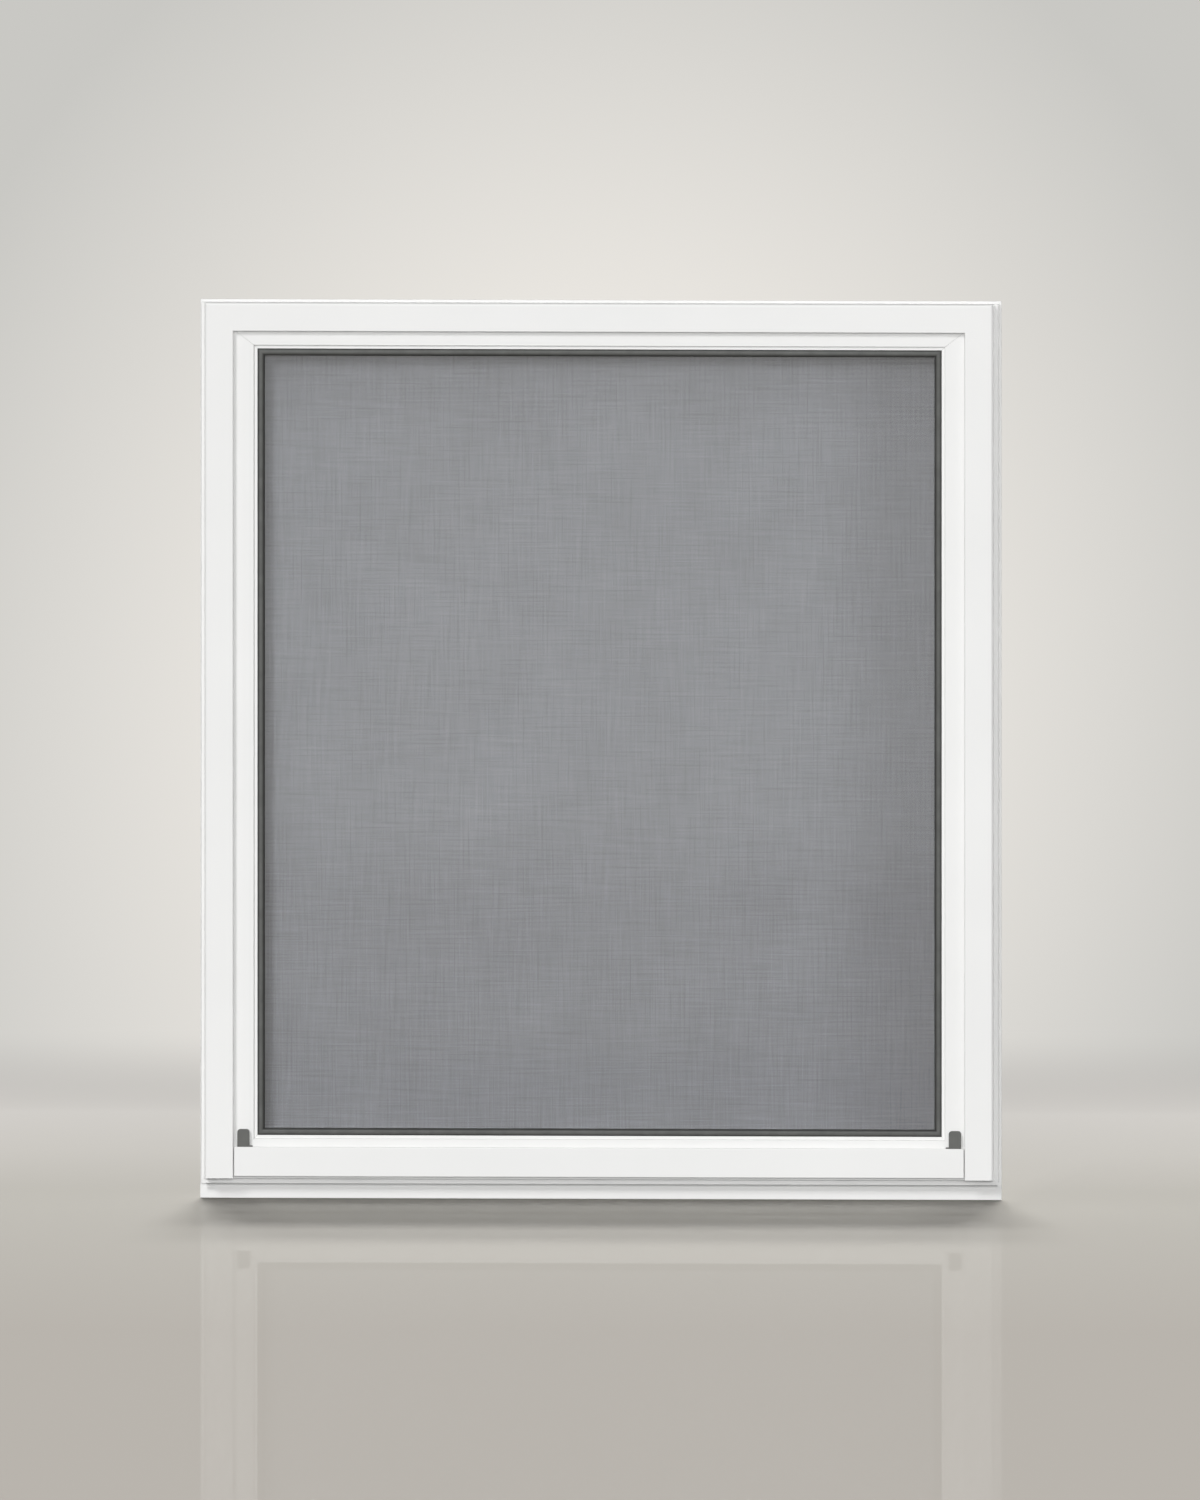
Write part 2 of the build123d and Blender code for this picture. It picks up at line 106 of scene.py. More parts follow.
def length(name, description, default):
    """A size in metres."""
    return FloatProperty(
        name=name, description=description, default=default, min=0.00001, precision=5, unit="LENGTH"
    )


def colour(name, description, default):
    """A colour as linear light."""
    return FloatVectorProperty(
        name=name, description=description, default=default, size=3, min=0.0, max=1.0, subtype="COLOR"
    )


def power(name, description, default):
    """The power of a lamp in watts."""
    return FloatProperty(name=name, description=description, default=default, min=0.0, unit="POWER")


def strength(name, description, default):
    """The strength of a light that has no place."""
    return FloatProperty(name=name, description=description, default=default, min=0.0)


def angle(name, description, degrees):
    """An angle, given in degrees."""
    return FloatProperty(name=name, description=description, default=math.radians(degrees), subtype="ANGLE")


class WindowSizes(bpy.types.PropertyGroup):
    """Sizes of the pieces that are modelled here"""

    pitch: length("Weave pitch", "From one strand of the screen to the next", 0.00127)
    strand_width: length("Strand width", "Width of a flat strand of the screen", 0.00072)
    strand_thickness: length("Strand thickness", "Thickness of a flat strand of the screen", 0.00016)
    groove_rim: length("Groove rim", "From the inner edge of the screen frame to its groove", 0.001)
    waver: length("Waver", "How far a strand or a tuft strays from its place", 0.0003)
    strand_grain: length("Strand grain", "Length over which a strand strays", 0.006)
    tuft_grain: length("Tuft grain", "Length over which the tufts stray", 0.002)
    tuft_pitch: length("Tuft pitch", "From one tuft of the brush seals to the next", 0.0012)
    tuft_width: length("Tuft width", "Width of a row of tufts at its tips", 0.0032)
    pile_backing: length("Pile backing", "Thickness of the strip that holds the tufts", 0.0008)


class WindowFinishes(bpy.types.PropertyGroup):
    """Colours and gloss of the finishes"""

    paint: colour("Paint", "White powder coat of the frame and the sash", (0.87, 0.87, 0.86))
    paint_roughness: FloatProperty(
        name="Paint roughness", description="Mean roughness of the powder coat", default=0.4, min=0.1, max=0.9
    )
    enamel: colour("Screen frame", "Baked enamel of the screen frame", (0.82, 0.82, 0.805))
    enamel_roughness: FloatProperty(
        name="Enamel roughness", description="Mean roughness of the enamel", default=0.45, min=0.1, max=0.9
    )
    rubber: colour("Gasket", "Dark rubber of the glazing gasket", (0.046, 0.047, 0.045))
    vinyl: colour("Spline", "Vinyl cord that holds the screen", (0.045, 0.046, 0.048))
    clip: colour("Clips", "Moulded plastic of the retainer clips", (0.13, 0.132, 0.125))
    strand: colour("Strands", "Coated yarn of the screen", (0.167, 0.169, 0.191))
    glass: colour("Glass", "Tint of the pane", (0.975, 0.985, 0.98))
    zinc: colour("Zinc", "Plating of the screws and the keys", (0.62, 0.63, 0.64))
    nylon: colour("Nylon", "Moulded keys of the screen frame", (0.2, 0.2, 0.2))
    pile: colour("Pile", "Fibre of the brush seals", (0.33, 0.33, 0.325))


class WindowStudio(bpy.types.PropertyGroup):
    """Camera, lamps and backdrop"""

    turn: angle("Turn", "How far the camera stands to the right", 4.4)
    rise: angle("Rise", "How far the camera looks down", 2.25)
    view_height: length("View height", "Height of the picture at the window", 1.5125)
    key_light: strength("Key light", "Wide light from the upper left front, for the window", 1.3)
    level_light: strength("Level light", "Wide light from straight ahead, for the window", 1.48)
    floor_light: strength("Floor light", "Two lights from above and behind, for the floor", 1.46)
    steep_light: strength("Steep light", "Light from nearly overhead, for the floor", 0.72)
    back_power: power("Back lamps", "Each of two softboxes behind the window, for its room side", 60.0)
    daylight: strength("Daylight", "Even light from all round", 0.28)
    floor_beyond: colour("Far front floor", "Floor that only the pane mirrors", (0.9, 0.89, 0.88))
    floor_front: colour("Front floor", "Floor at the foot of the picture", (0.45, 0.423, 0.387))
    floor_near: colour("Near floor", "Floor beside the window", (0.497, 0.478, 0.438))
    floor_far: colour("Far floor", "Floor below the backdrop", (0.588, 0.569, 0.543))
    # The backdrop glows in these colours, as a painted pool of light that is brightest behind the window.
    wall_middle: colour("Backdrop middle", "Backdrop behind the window", (0.9, 0.866, 0.817))
    wall_edge: colour("Backdrop edge", "Backdrop at the corners of the picture", (0.584, 0.578, 0.552))


class StormWindow(bpy.types.PropertyGroup):
    """All settings of the storm window"""

    sizes: PointerProperty(type=WindowSizes)
    finishes: PointerProperty(type=WindowFinishes)
    studio: PointerProperty(type=WindowStudio)


class Finish:
    """One procedural material, whose nodes are added and joined by name."""

    def __init__(self, name):
        self.material = bpy.data.materials.new(name)
        self.material.use_nodes = True
        self.tree = self.material.node_tree
        self.tree.nodes.clear()
        self.place = self.node("ShaderNodeTexCoord").outputs["Object"]

    def node(self, kind, inputs=None, **settings):
        """Adds a node. A socket given as an input is linked, and anything else is set."""
        made = self.tree.nodes.new(kind)
        for key, value in settings.items():
            setattr(made, key, value)
        for key, value in (inputs or {}).items():
            if isinstance(value, bpy.types.NodeSocket):
                self.tree.links.new(value, made.inputs[key])
            else:
                made.inputs[key].default_value = value
        return made

    def noise(self, scale, detail=2.0, stretch=None, skew=0.0):
        """Cloudy noise, with its repeats per metre, stretched along the axes or set askew."""
        place = self.place
        if stretch:
            inputs = {"Vector": place, "Scale": stretch, "Rotation": (0.0, skew, 0.0)}
            place = self.node("ShaderNodeMapping", inputs).outputs["Vector"]
        return self.node("ShaderNodeTexNoise", {"Vector": place, "Scale": scale, "Detail": detail}).outputs[0]

    def axes(self):
        """The three numbers of the place."""
        return self.node("ShaderNodeSeparateXYZ", {0: self.place}).outputs

    def between(self, value, low, high, start=0.3, end=0.7, curve="LINEAR"):
        """Turns a span of a value, or the usual span of noise, into a range of numbers."""
        inputs = {"Value": value, "From Min": start, "From Max": end, "To Min": low, "To Max": high}
        return self.node("ShaderNodeMapRange", inputs, interpolation_type=curve).outputs["Result"]

    def maths(self, operation, first, second=0.0):
        """A Math node."""
        return self.node("ShaderNodeMath", {0: first, 1: second}, operation=operation).outputs["Value"]

    def mix(self, share, first, second):
        """Goes from one colour to another."""
        inputs = {0: share, 6: solid(first), 7: solid(second)}
        return self.node("ShaderNodeMix", inputs, data_type="RGBA").outputs[2]

    def scale(self, tone, share):
        """Makes a colour darker or lighter by a number that varies."""
        return self.node("ShaderNodeVectorMath", {0: tone, "Scale": share}, operation="SCALE").outputs[0]

    def bump(self, height, strength, depth):
        """A relief of a real depth in metres."""
        inputs = {"Height": height, "Strength": strength, "Distance": depth}
        return self.node("ShaderNodeBump", inputs).outputs["Normal"]

    def shader(self, kind, inputs):
        """A shader node's own output."""
        return self.node("ShaderNode" + kind, inputs).outputs[0]

    def done(self, shader):
        """Joins the shader to the output and returns the material."""
        self.node("ShaderNodeOutputMaterial", {"Surface": shader})
        return self.material


def solid(value):
    """A colour with its fourth number, or a socket as it is."""
    return value if isinstance(value, bpy.types.NodeSocket) else (*value[:3], 1.0)


def shade(value, share):
    """A colour made darker or lighter."""
    return tuple(min(1.0, part * share) for part in value[:3])


def powder_coat(name, paint, roughness):
    """Satin powder coat: a fine orange peel, and a tone and gloss that vary a little."""
    finish = Finish(name)
    tone = finish.between(finish.noise(scale=7.0, detail=3.0), low=0.0, high=1.0)
    peel = finish.maths("ADD", finish.noise(scale=620.0), finish.noise(scale=1900.0))
    dull, bright, spread = 0.98, 1.005, 0.05
    inputs = {
        "Base Color": finish.mix(tone, shade(paint, dull), shade(paint, bright)),
        "Roughness": finish.between(finish.noise(scale=60.0), roughness - spread, roughness + spread),
        "Normal": finish.bump(peel, strength=0.25, depth=0.00006),
    }
    return finish.done(finish.shader("BsdfPrincipled", inputs))


def moulded(name, base, roughness, grain, relief, dustiness, highlight_crown=None):
    """Moulded plastic or rubber: a fine grain, a dusty tone, and, where the depth of a crown is given, a
    painted highlight on the crown with painted shade on its flanks.
    """
    finish = Finish(name)
    dust = finish.between(finish.noise(scale=90.0, detail=4.0), low=0.0, high=1.0)
    tone = finish.mix(dust, shade(base, 1.0 - dustiness), shade(base, 1.0 + dustiness))
    if highlight_crown is not None:
        # Painted highlight and shade: the face nearest the front is made paler, and the flanks behind it
        # darker.
        pale, dull, fade = 2.5, 0.85, 0.0009
        tone = finish.scale(tone, finish.between(finish.axes()[1], pale, dull, highlight_crown, highlight_crown + fade))
    spread = 0.07
    inputs = {
        "Base Color": tone,
        "Roughness": finish.between(finish.noise(scale=240.0), roughness - spread, roughness + spread),
        "Normal": finish.bump(finish.noise(scale=grain, detail=3.0), strength=0.5, depth=relief),
    }
    return finish.done(finish.shader("BsdfPrincipled", inputs))


def zinc_plate(name, base):
    """Zinc plate: fine draw lines and a spangle in its tone."""
    finish = Finish(name)
    spangle = finish.between(finish.noise(scale=420.0, detail=3.0), low=0.0, high=1.0)
    lines = finish.noise(scale=900.0, stretch=(1.0, 1.0, 0.08))
    dull = 0.85
    inputs = {
        "Base Color": finish.mix(spangle, shade(base, dull), base),
        "Metallic": 1.0,
        "Roughness": finish.between(lines, low=0.28, high=0.46),
        "Normal": finish.bump(lines, strength=0.3, depth=0.00003),
    }
    return finish.done(finish.shader("BsdfPrincipled", inputs))


def float_glass(name, tint):
    """Clear pane that lets lamp light through, with a faint film on it."""
    finish = Finish(name)
    inputs = {
        "Base Color": solid(tint),
        "Roughness": finish.between(finish.noise(scale=16.0, detail=4.0), low=0.0, high=0.03),
        "Transmission Weight": 1.0,
        "IOR": 1.5,
    }
    pane = finish.shader("BsdfPrincipled", inputs)
    lamp_ray = finish.node("ShaderNodeLightPath").outputs["Is Shadow Ray"]
    clear = finish.shader("BsdfTransparent", {"Color": solid(tint)})
    return finish.done(finish.shader("MixShader", {0: lamp_ray, 1: pane, 2: clear}))


def coated_yarn(name, base):
    """Grey yarn: streaks along the strands both ways, soft clouds, and painted shade that darkens it towards
    the right and the top.
    """
    finish = Finish(name)
    across, along, skew = 790.0, 16.0, 0.3
    dark, pale, right_shade, top_shade = 0.75, 1.25, 0.72, 0.86
    right_shade_span, top_shade_span = (0.2, 0.32), (0.74, 0.85)
    upright = finish.noise(scale=1.0, stretch=(across, 1.0, along), skew=skew)
    level = finish.noise(scale=1.0, stretch=(along, 1.0, across), skew=skew)
    streak = finish.between(finish.maths("ADD", upright, level), low=0.0, high=1.0, start=0.7, end=1.3)
    cloud = finish.between(finish.noise(scale=11.0, detail=3.0), low=0.95, high=1.05)
    tone = finish.scale(finish.mix(streak, shade(base, dark), shade(base, pale)), cloud)
    axes = finish.axes()
    # Painted shade: the yarn's tone is darkened towards its right and top edges.
    right = finish.between(axes[0], 1.0, right_shade, *right_shade_span, "SMOOTHSTEP")
    top = finish.between(axes[2], 1.0, top_shade, *top_shade_span, "SMOOTHSTEP")
    inputs = {
        "Base Color": finish.scale(tone, finish.maths("MULTIPLY", right, top)),
        "Roughness": finish.between(finish.noise(scale=500.0), low=0.5, high=0.7),
        "Normal": finish.bump(finish.noise(scale=3000.0), strength=0.3, depth=0.00004),
        "Sheen Weight": 0.15,
    }
    return finish.done(finish.shader("BsdfPrincipled", inputs))


def combed_fibre(name, base):
    """Woven pile: single fibres that run from the backing to the sash."""
    finish = Finish(name)
    fibres = finish.between(finish.noise(scale=2600.0, stretch=(1.0, 0.05, 1.0)), low=0.0, high=1.0)
    dark, pale = 0.7, 1.25
    inputs = {
        "Base Color": finish.mix(fibres, shade(base, dark), shade(base, pale)),
        "Roughness": finish.between(fibres, low=0.95, high=0.8, start=0.0, end=1.0),
        "Normal": finish.bump(fibres, strength=0.6, depth=0.0001),
        "Sheen Weight": 0.3,
    }
    return finish.done(finish.shader("BsdfPrincipled", inputs))


def studio_sweep(name, studio, glow):
    """Matt floor with a faint mirror image in it, which turns into a glowing backdrop with a painted pool of
    light in its middle.
    """
    finish = Finish(name)
    axes = finish.axes()
    path = finish.node("ShaderNodeLightPath").outputs
    through = finish.maths("GREATER_THAN", path["Is Transmission Ray"], path["Diffuse Depth"])

    front = finish.between(axes[1], 1.0, 0.0, *FRONT_SPAN)
    away = finish.between(axes[1], 0.0, 1.0, *AWAY_SPAN)
    beyond = finish.between(axes[1], 1.0, 0.0, *BEYOND_SPAN)
    near = finish.mix(away, studio.floor_near, studio.floor_far)
    tone = finish.mix(beyond, finish.mix(front, near, studio.floor_front), studio.floor_beyond)
    light = finish.between(through, 1.0, DIMMED, 0.0, 1.0)
    matt = finish.shader("BsdfDiffuse", {"Color": finish.scale(tone, light)})

    mirror = finish.shader("BsdfGlossy", {"Color": (1.0, 1.0, 1.0, 1.0), "Roughness": MIRROR_ROUGHNESS})
    grazing = finish.node("ShaderNodeFresnel", {"IOR": MIRROR_IOR}).outputs[0]
    share = finish.maths("MULTIPLY", grazing, finish.between(axes[1], MIRROR_SHARE, 0.0, *MIRROR_SPAN))
    # Painted shade: the mirror image is taken out of the floor at the window's foot, so a darker contact line
    # shows there.
    beside = finish.between(finish.maths("ABSOLUTE", axes[0]), 0.0, 1.0, *BESIDE_SPAN)
    outside_foot_shade = finish.maths("MAXIMUM", beside, finish.between(axes[1], 1.0, 0.0, *FOOT_SHADE_SPAN))
    share = finish.maths("MULTIPLY", share, outside_foot_shade)
    floor = finish.shader("MixShader", {0: share, 1: matt, 2: mirror})

    # Painted light: the backdrop glows, brightest around a point behind the window, and is no lamp.
    wide = finish.maths("MULTIPLY", finish.maths("SUBTRACT", axes[0], glow[0]), GLOW_SQUEEZE)
    tall = finish.maths("SUBTRACT", axes[2], glow[1])
    squares = finish.maths("ADD", finish.maths("MULTIPLY", wide, wide), finish.maths("MULTIPLY", tall, tall))
    out = finish.between(finish.maths("SQRT", squares), 0.0, 1.0, *GLOW_SPAN)
    inputs = {
        "Color": finish.mix(out, studio.wall_middle, studio.wall_edge),
        "Strength": finish.between(path["Is Glossy Ray"], 1.0, DIMMED, 0.0, 1.0),
    }
    painted_glow = finish.shader("Emission", inputs)

    seen = finish.maths("MAXIMUM", path["Is Camera Ray"], path["Is Glossy Ray"])
    seen = finish.maths("MAXIMUM", seen, through)
    high = finish.between(axes[2], 0.0, 1.0, *CURVE_SPAN, "SMOOTHSTEP")
    shown = finish.maths("MULTIPLY", seen, high)
    return finish.done(finish.shader("MixShader", {0: shown, 1: floor, 2: painted_glow}))


def dress(names, material):
    """Gives CAD nodes a finish."""
    for name in names:
        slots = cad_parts[name].data.materials
        slots.clear()
        slots.append(material)


def deselect():
    """Leaves nothing selected."""
    if bpy.context.object and bpy.context.object.mode != "OBJECT":
        bpy.ops.object.mode_set(mode="OBJECT")
    bpy.ops.object.select_all(action="DESELECT")


def pick(kind, test):
    """Selects the edges or faces of the mesh in edit mode whose middle passes a test."""
    mesh = bpy.context.edit_object.data
    bpy.context.tool_settings.mesh_select_mode = (False, kind == "edges", kind == "faces")
    bpy.ops.mesh.select_all(action="DESELECT")
    form = bmesh.from_edit_mesh(mesh)
    for part in getattr(form, kind):
        middle = sum((corner.co for corner in part.verts), Vector()) / len(part.verts)
        part.select_set(test(middle))
    form.select_flush_mode()
    bmesh.update_edit_mesh(mesh)


def extrude(step):
    """Extrudes the selected edges or faces by a step."""
    bpy.ops.mesh.extrude_region_move(TRANSFORM_OT_translate={"value": step})


def modify(kind, **settings):
    """Adds a modifier to the active object and applies it."""
    made = bpy.context.object.modifiers.new(kind.title(), kind)
    for key, value in settings.items():
        setattr(made, key, value)
    bpy.ops.object.modifier_apply(modifier=made.name)


def outward():
    """Turns the faces of the active object outwards."""
    bpy.ops.object.mode_set(mode="EDIT")
    bpy.ops.mesh.select_all(action="SELECT")
    bpy.ops.mesh.normals_make_consistent(inside=False)
    bpy.ops.object.mode_set(mode="OBJECT")


def joined(name, *pieces):
    """Makes one named piece of several."""
    deselect()
    for piece in pieces:
        piece.select_set(True)
    bpy.context.view_layer.objects.active = pieces[0]
    bpy.ops.object.join()
    outward()
    whole = bpy.context.object
    whole.name = name
    whole.data.name = name
    return whole


def scaled_block(low, high):
    """A block between two corners, with its place and size in its mesh."""
    deselect()
    bpy.ops.mesh.primitive_cube_add(size=1.0, location=(Vector(low) + Vector(high)) / 2)
    bpy.context.object.scale = Vector(high) - Vector(low)
    bpy.ops.object.transform_apply(location=True, rotation=True, scale=True)
    return bpy.context.object


def repeat(count, axis, step):
    """Repeats the active object along an axis."""
    offset = [0.0, 0.0, 0.0]
    offset[axis] = step
    modify(
        "ARRAY",
        count=count,
        use_relative_offset=False,
        use_constant_offset=True,
        constant_offset_displace=offset,
    )


def waver(name, grain, axis, reach):
    """Moves the strands or tufts of the active object off their places, by a slow noise."""
    texture = bpy.data.textures.new(name, "CLOUDS")
    texture.noise_scale = grain
    modify("DISPLACE", texture=texture, texture_coords="LOCAL", direction="XYZ"[axis], strength=reach)


def strand_set(sizes, across, depth):
    """One set of flat strands, up the screen or over it: one is drawn along its route and then repeated.

    The route starts at the mouth of a groove, goes down its outer wall, under the spline and up its inner
    wall, over the screen at the given depth, and into the groove at the far end. The axis across the strands
    is 0 for x or 2 for z, and they run along the other one.
    """
    along = 2 - across
    low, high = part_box("screen_cloth")
    half = sizes.strand_thickness / 2
    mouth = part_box("screen_rail_bottom")[1].y
    inner = (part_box("screen_stile_left")[1].x, 0.0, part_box("screen_rail_bottom")[1].z)
    near = inner[along] - sizes.groove_rim
    far = low[along] + high[along] - near
    floor = low.y + half
    route = [
        (low[along] + half, mouth),
        (low[along] + half, floor),
        (near - half, floor),
        (near - half, depth),
        (far + half, depth),
        (far + half, floor),
        (high[along] - half, floor),
        (high[along] - half, mouth),
    ]
    first = inner[across] - sizes.groove_rim
    last = low[across] + high[across] - first
    count = int((last - first - sizes.strand_width) / sizes.pitch) + 1
    start = (first + last - (count - 1) * sizes.pitch) / 2

    place = [0.0, (route[0][1] + route[1][1]) / 2, 0.0]
    place[across] = start
    place[along] = route[0][0]
    turn = (0.0, math.pi / 2, 0.0) if across == 2 else (0.0, 0.0, 0.0)
    deselect()
    bpy.ops.mesh.primitive_plane_add(size=1.0, location=place, rotation=turn)
    bpy.context.object.scale = (sizes.strand_width, route[0][1] - route[1][1], 1.0)
    bpy.ops.object.transform_apply(location=True, rotation=True, scale=True)
    bpy.ops.object.mode_set(mode="EDIT")
    pick("edges", lambda middle: middle.y < floor + half)
    for (a, b), (c, d) in zip(route[1:], route[2:]):
        step = [0.0, d - b, 0.0]
        step[along] = c - a
        extrude(step)
    bpy.ops.object.mode_set(mode="OBJECT")
    modify("SOLIDIFY", thickness=2 * half, offset=0.0, use_even_offset=True)
    repeat(count, across, sizes.pitch)
    waver("strand_waver", sizes.strand_grain, across, sizes.waver)
    return bpy.context.object


def brush_seal(node, sizes, across, sash_edge):
    """A brush seal in the place of a CAD strip: tufts that splay towards the sash, on a backing.

    The axis across the strip is 0 for x or 2 for z, and the tufts stand in a row along the other one.
    """
    along = 2 - across
    low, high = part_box(node)
    root = low.y + sizes.pile_backing
    outer = high if sash_edge < (low[across] + high[across]) / 2 else low
    middle = (sash_edge + outer[across]) / 2
    round_share, foot_share, fill_share, tip_share = 0.25, 0.6, 0.8, 1.2

    backing = scaled_block(low, (high.x, root, high.z))
    bpy.ops.object.mode_set(mode="EDIT")
    bpy.ops.mesh.select_all(action="SELECT")
    bpy.ops.mesh.bevel(offset=sizes.pile_backing * round_share, segments=2, affect="EDGES")
    bpy.ops.object.mode_set(mode="OBJECT")

    count = int((high[along] - low[along]) / sizes.tuft_pitch)
    start = (low[along] + high[along] - count * sizes.tuft_pitch) / 2
    foot = Vector((0.0, root, 0.0))
    foot[across] = middle - sizes.tuft_width * foot_share / 2
    foot[along] = start
    waist = Vector((0.0, (root + high.y) / 2, 0.0))
    waist[across] = middle + sizes.tuft_width * foot_share / 2
    waist[along] = start + sizes.tuft_pitch * fill_share
    tufts = scaled_block(foot, waist)
    bpy.ops.object.mode_set(mode="EDIT")
    pick("faces", lambda centre: centre.y > waist.y - CLOSE)
    extrude((0.0, high.y - waist.y, 0.0))
    splay = [tip_share, 1.0, tip_share]
    splay[across] = 1.0 / foot_share
    tip = (foot + waist) / 2
    tip.y = high.y
    bpy.ops.transform.resize(value=splay, center_override=tip)
    bpy.ops.object.mode_set(mode="OBJECT")
    repeat(count, along, sizes.tuft_pitch)
    waver("tuft_waver", sizes.tuft_grain, across, sizes.waver)
    return joined(node.replace("pile_strip", "brush_seal"), backing, tufts)


class STORM_WINDOW_OT_paint(bpy.types.Operator):
    """Powder-coats the frame, sill, bar and sash, and enamels the screen frame"""

    bl_idname = "storm_window.paint"
    bl_label = "Paint the Frame and the Sash"

    def execute(self, context):
        finishes = context.scene.storm_window.finishes
        dress(PAINTED, powder_coat("white_powder_coat", finishes.paint, finishes.paint_roughness))
        dress(SCREEN_FRAME, powder_coat("screen_enamel", finishes.enamel, finishes.enamel_roughness))
        return {"FINISHED"}


class STORM_WINDOW_OT_glaze(bpy.types.Operator):
    """Gives the pane its glass, the gasket its rubber and the spline its vinyl"""

    bl_idname = "storm_window.glaze"
    bl_label = "Glaze the Sash"

    def execute(self, context):
        finishes = context.scene.storm_window.finishes
        dress(["glass_pane"], float_glass("float_glass", finishes.glass))
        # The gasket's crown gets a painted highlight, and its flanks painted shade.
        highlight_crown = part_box("glazing_gasket")[0].y
        rubber = moulded(
            "gasket_rubber",
            finishes.rubber,
            roughness=0.36,
            grain=1500.0,
            relief=0.00004,
            dustiness=0.12,
            highlight_crown=highlight_crown,
        )
        vinyl = moulded(
            "spline_vinyl", finishes.vinyl, roughness=0.5, grain=1100.0, relief=0.00008, dustiness=0.15
        )
        dress(["glazing_gasket"], rubber)
        dress(["screen_spline"], vinyl)
        return {"FINISHED"}


class STORM_WINDOW_OT_fittings(bpy.types.Operator):
    """Finishes the clips, the corner keys and the screws"""

    bl_idname = "storm_window.fittings"
    bl_label = "Finish the Fittings"

    def execute(self, context):
        finishes = context.scene.storm_window.finishes
        plastic = moulded(
            "clip_plastic", finishes.clip, roughness=0.48, grain=2200.0, relief=0.00005, dustiness=0.06
        )
        nylon = moulded(
            "key_nylon", finishes.nylon, roughness=0.55, grain=1800.0, relief=0.00005, dustiness=0.1
        )
        dress(CLIPS, plastic)
        dress(["screen_corner_keys"], nylon)
        dress(PLATED, zinc_plate("zinc_plate", finishes.zinc))
        return {"FINISHED"}


class STORM_WINDOW_OT_weave(bpy.types.Operator):
    """Weaves the screen from flat strands that tuck into the groove of the screen frame"""

    bl_idname = "storm_window.weave"
    bl_label = "Weave the Screen"

    def execute(self, context):
        settings = context.scene.storm_window
        sizes = settings.sizes
        half = sizes.strand_thickness / 2
        upright = strand_set(sizes, 0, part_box("screen_rail_bottom")[1].y + half)
        level = strand_set(sizes, 2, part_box("screen_cloth")[1].y - half)
        screen = joined("screen_weave", upright, level)
        screen.data.materials.append(coated_yarn("coated_yarn", settings.finishes.strand))
        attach(screen, "root")
        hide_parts("screen_cloth")
        return {"FINISHED"}


class STORM_WINDOW_OT_brush(bpy.types.Operator):
    """Models the brush seals between the face and the sash"""

    bl_idname = "storm_window.brush"
    bl_label = "Comb the Brush Seals"

    def execute(self, context):
        settings = context.scene.storm_window
        fibre = combed_fibre("combed_fibre", settings.finishes.pile)
        edges = {
            "pile_strip_left": (0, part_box("sash_stile_left")[0].x),
            "pile_strip_right": (0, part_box("sash_stile_right")[1].x),
            "pile_strip_head": (2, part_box("sash_top_rail")[1].z),
        }
        for node, (across, sash_edge) in edges.items():
            seal = brush_seal(node, settings.sizes, across, sash_edge)
            seal.data.materials.append(fibre)
            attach(seal, "root")
            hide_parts(node)
        return {"FINISHED"}


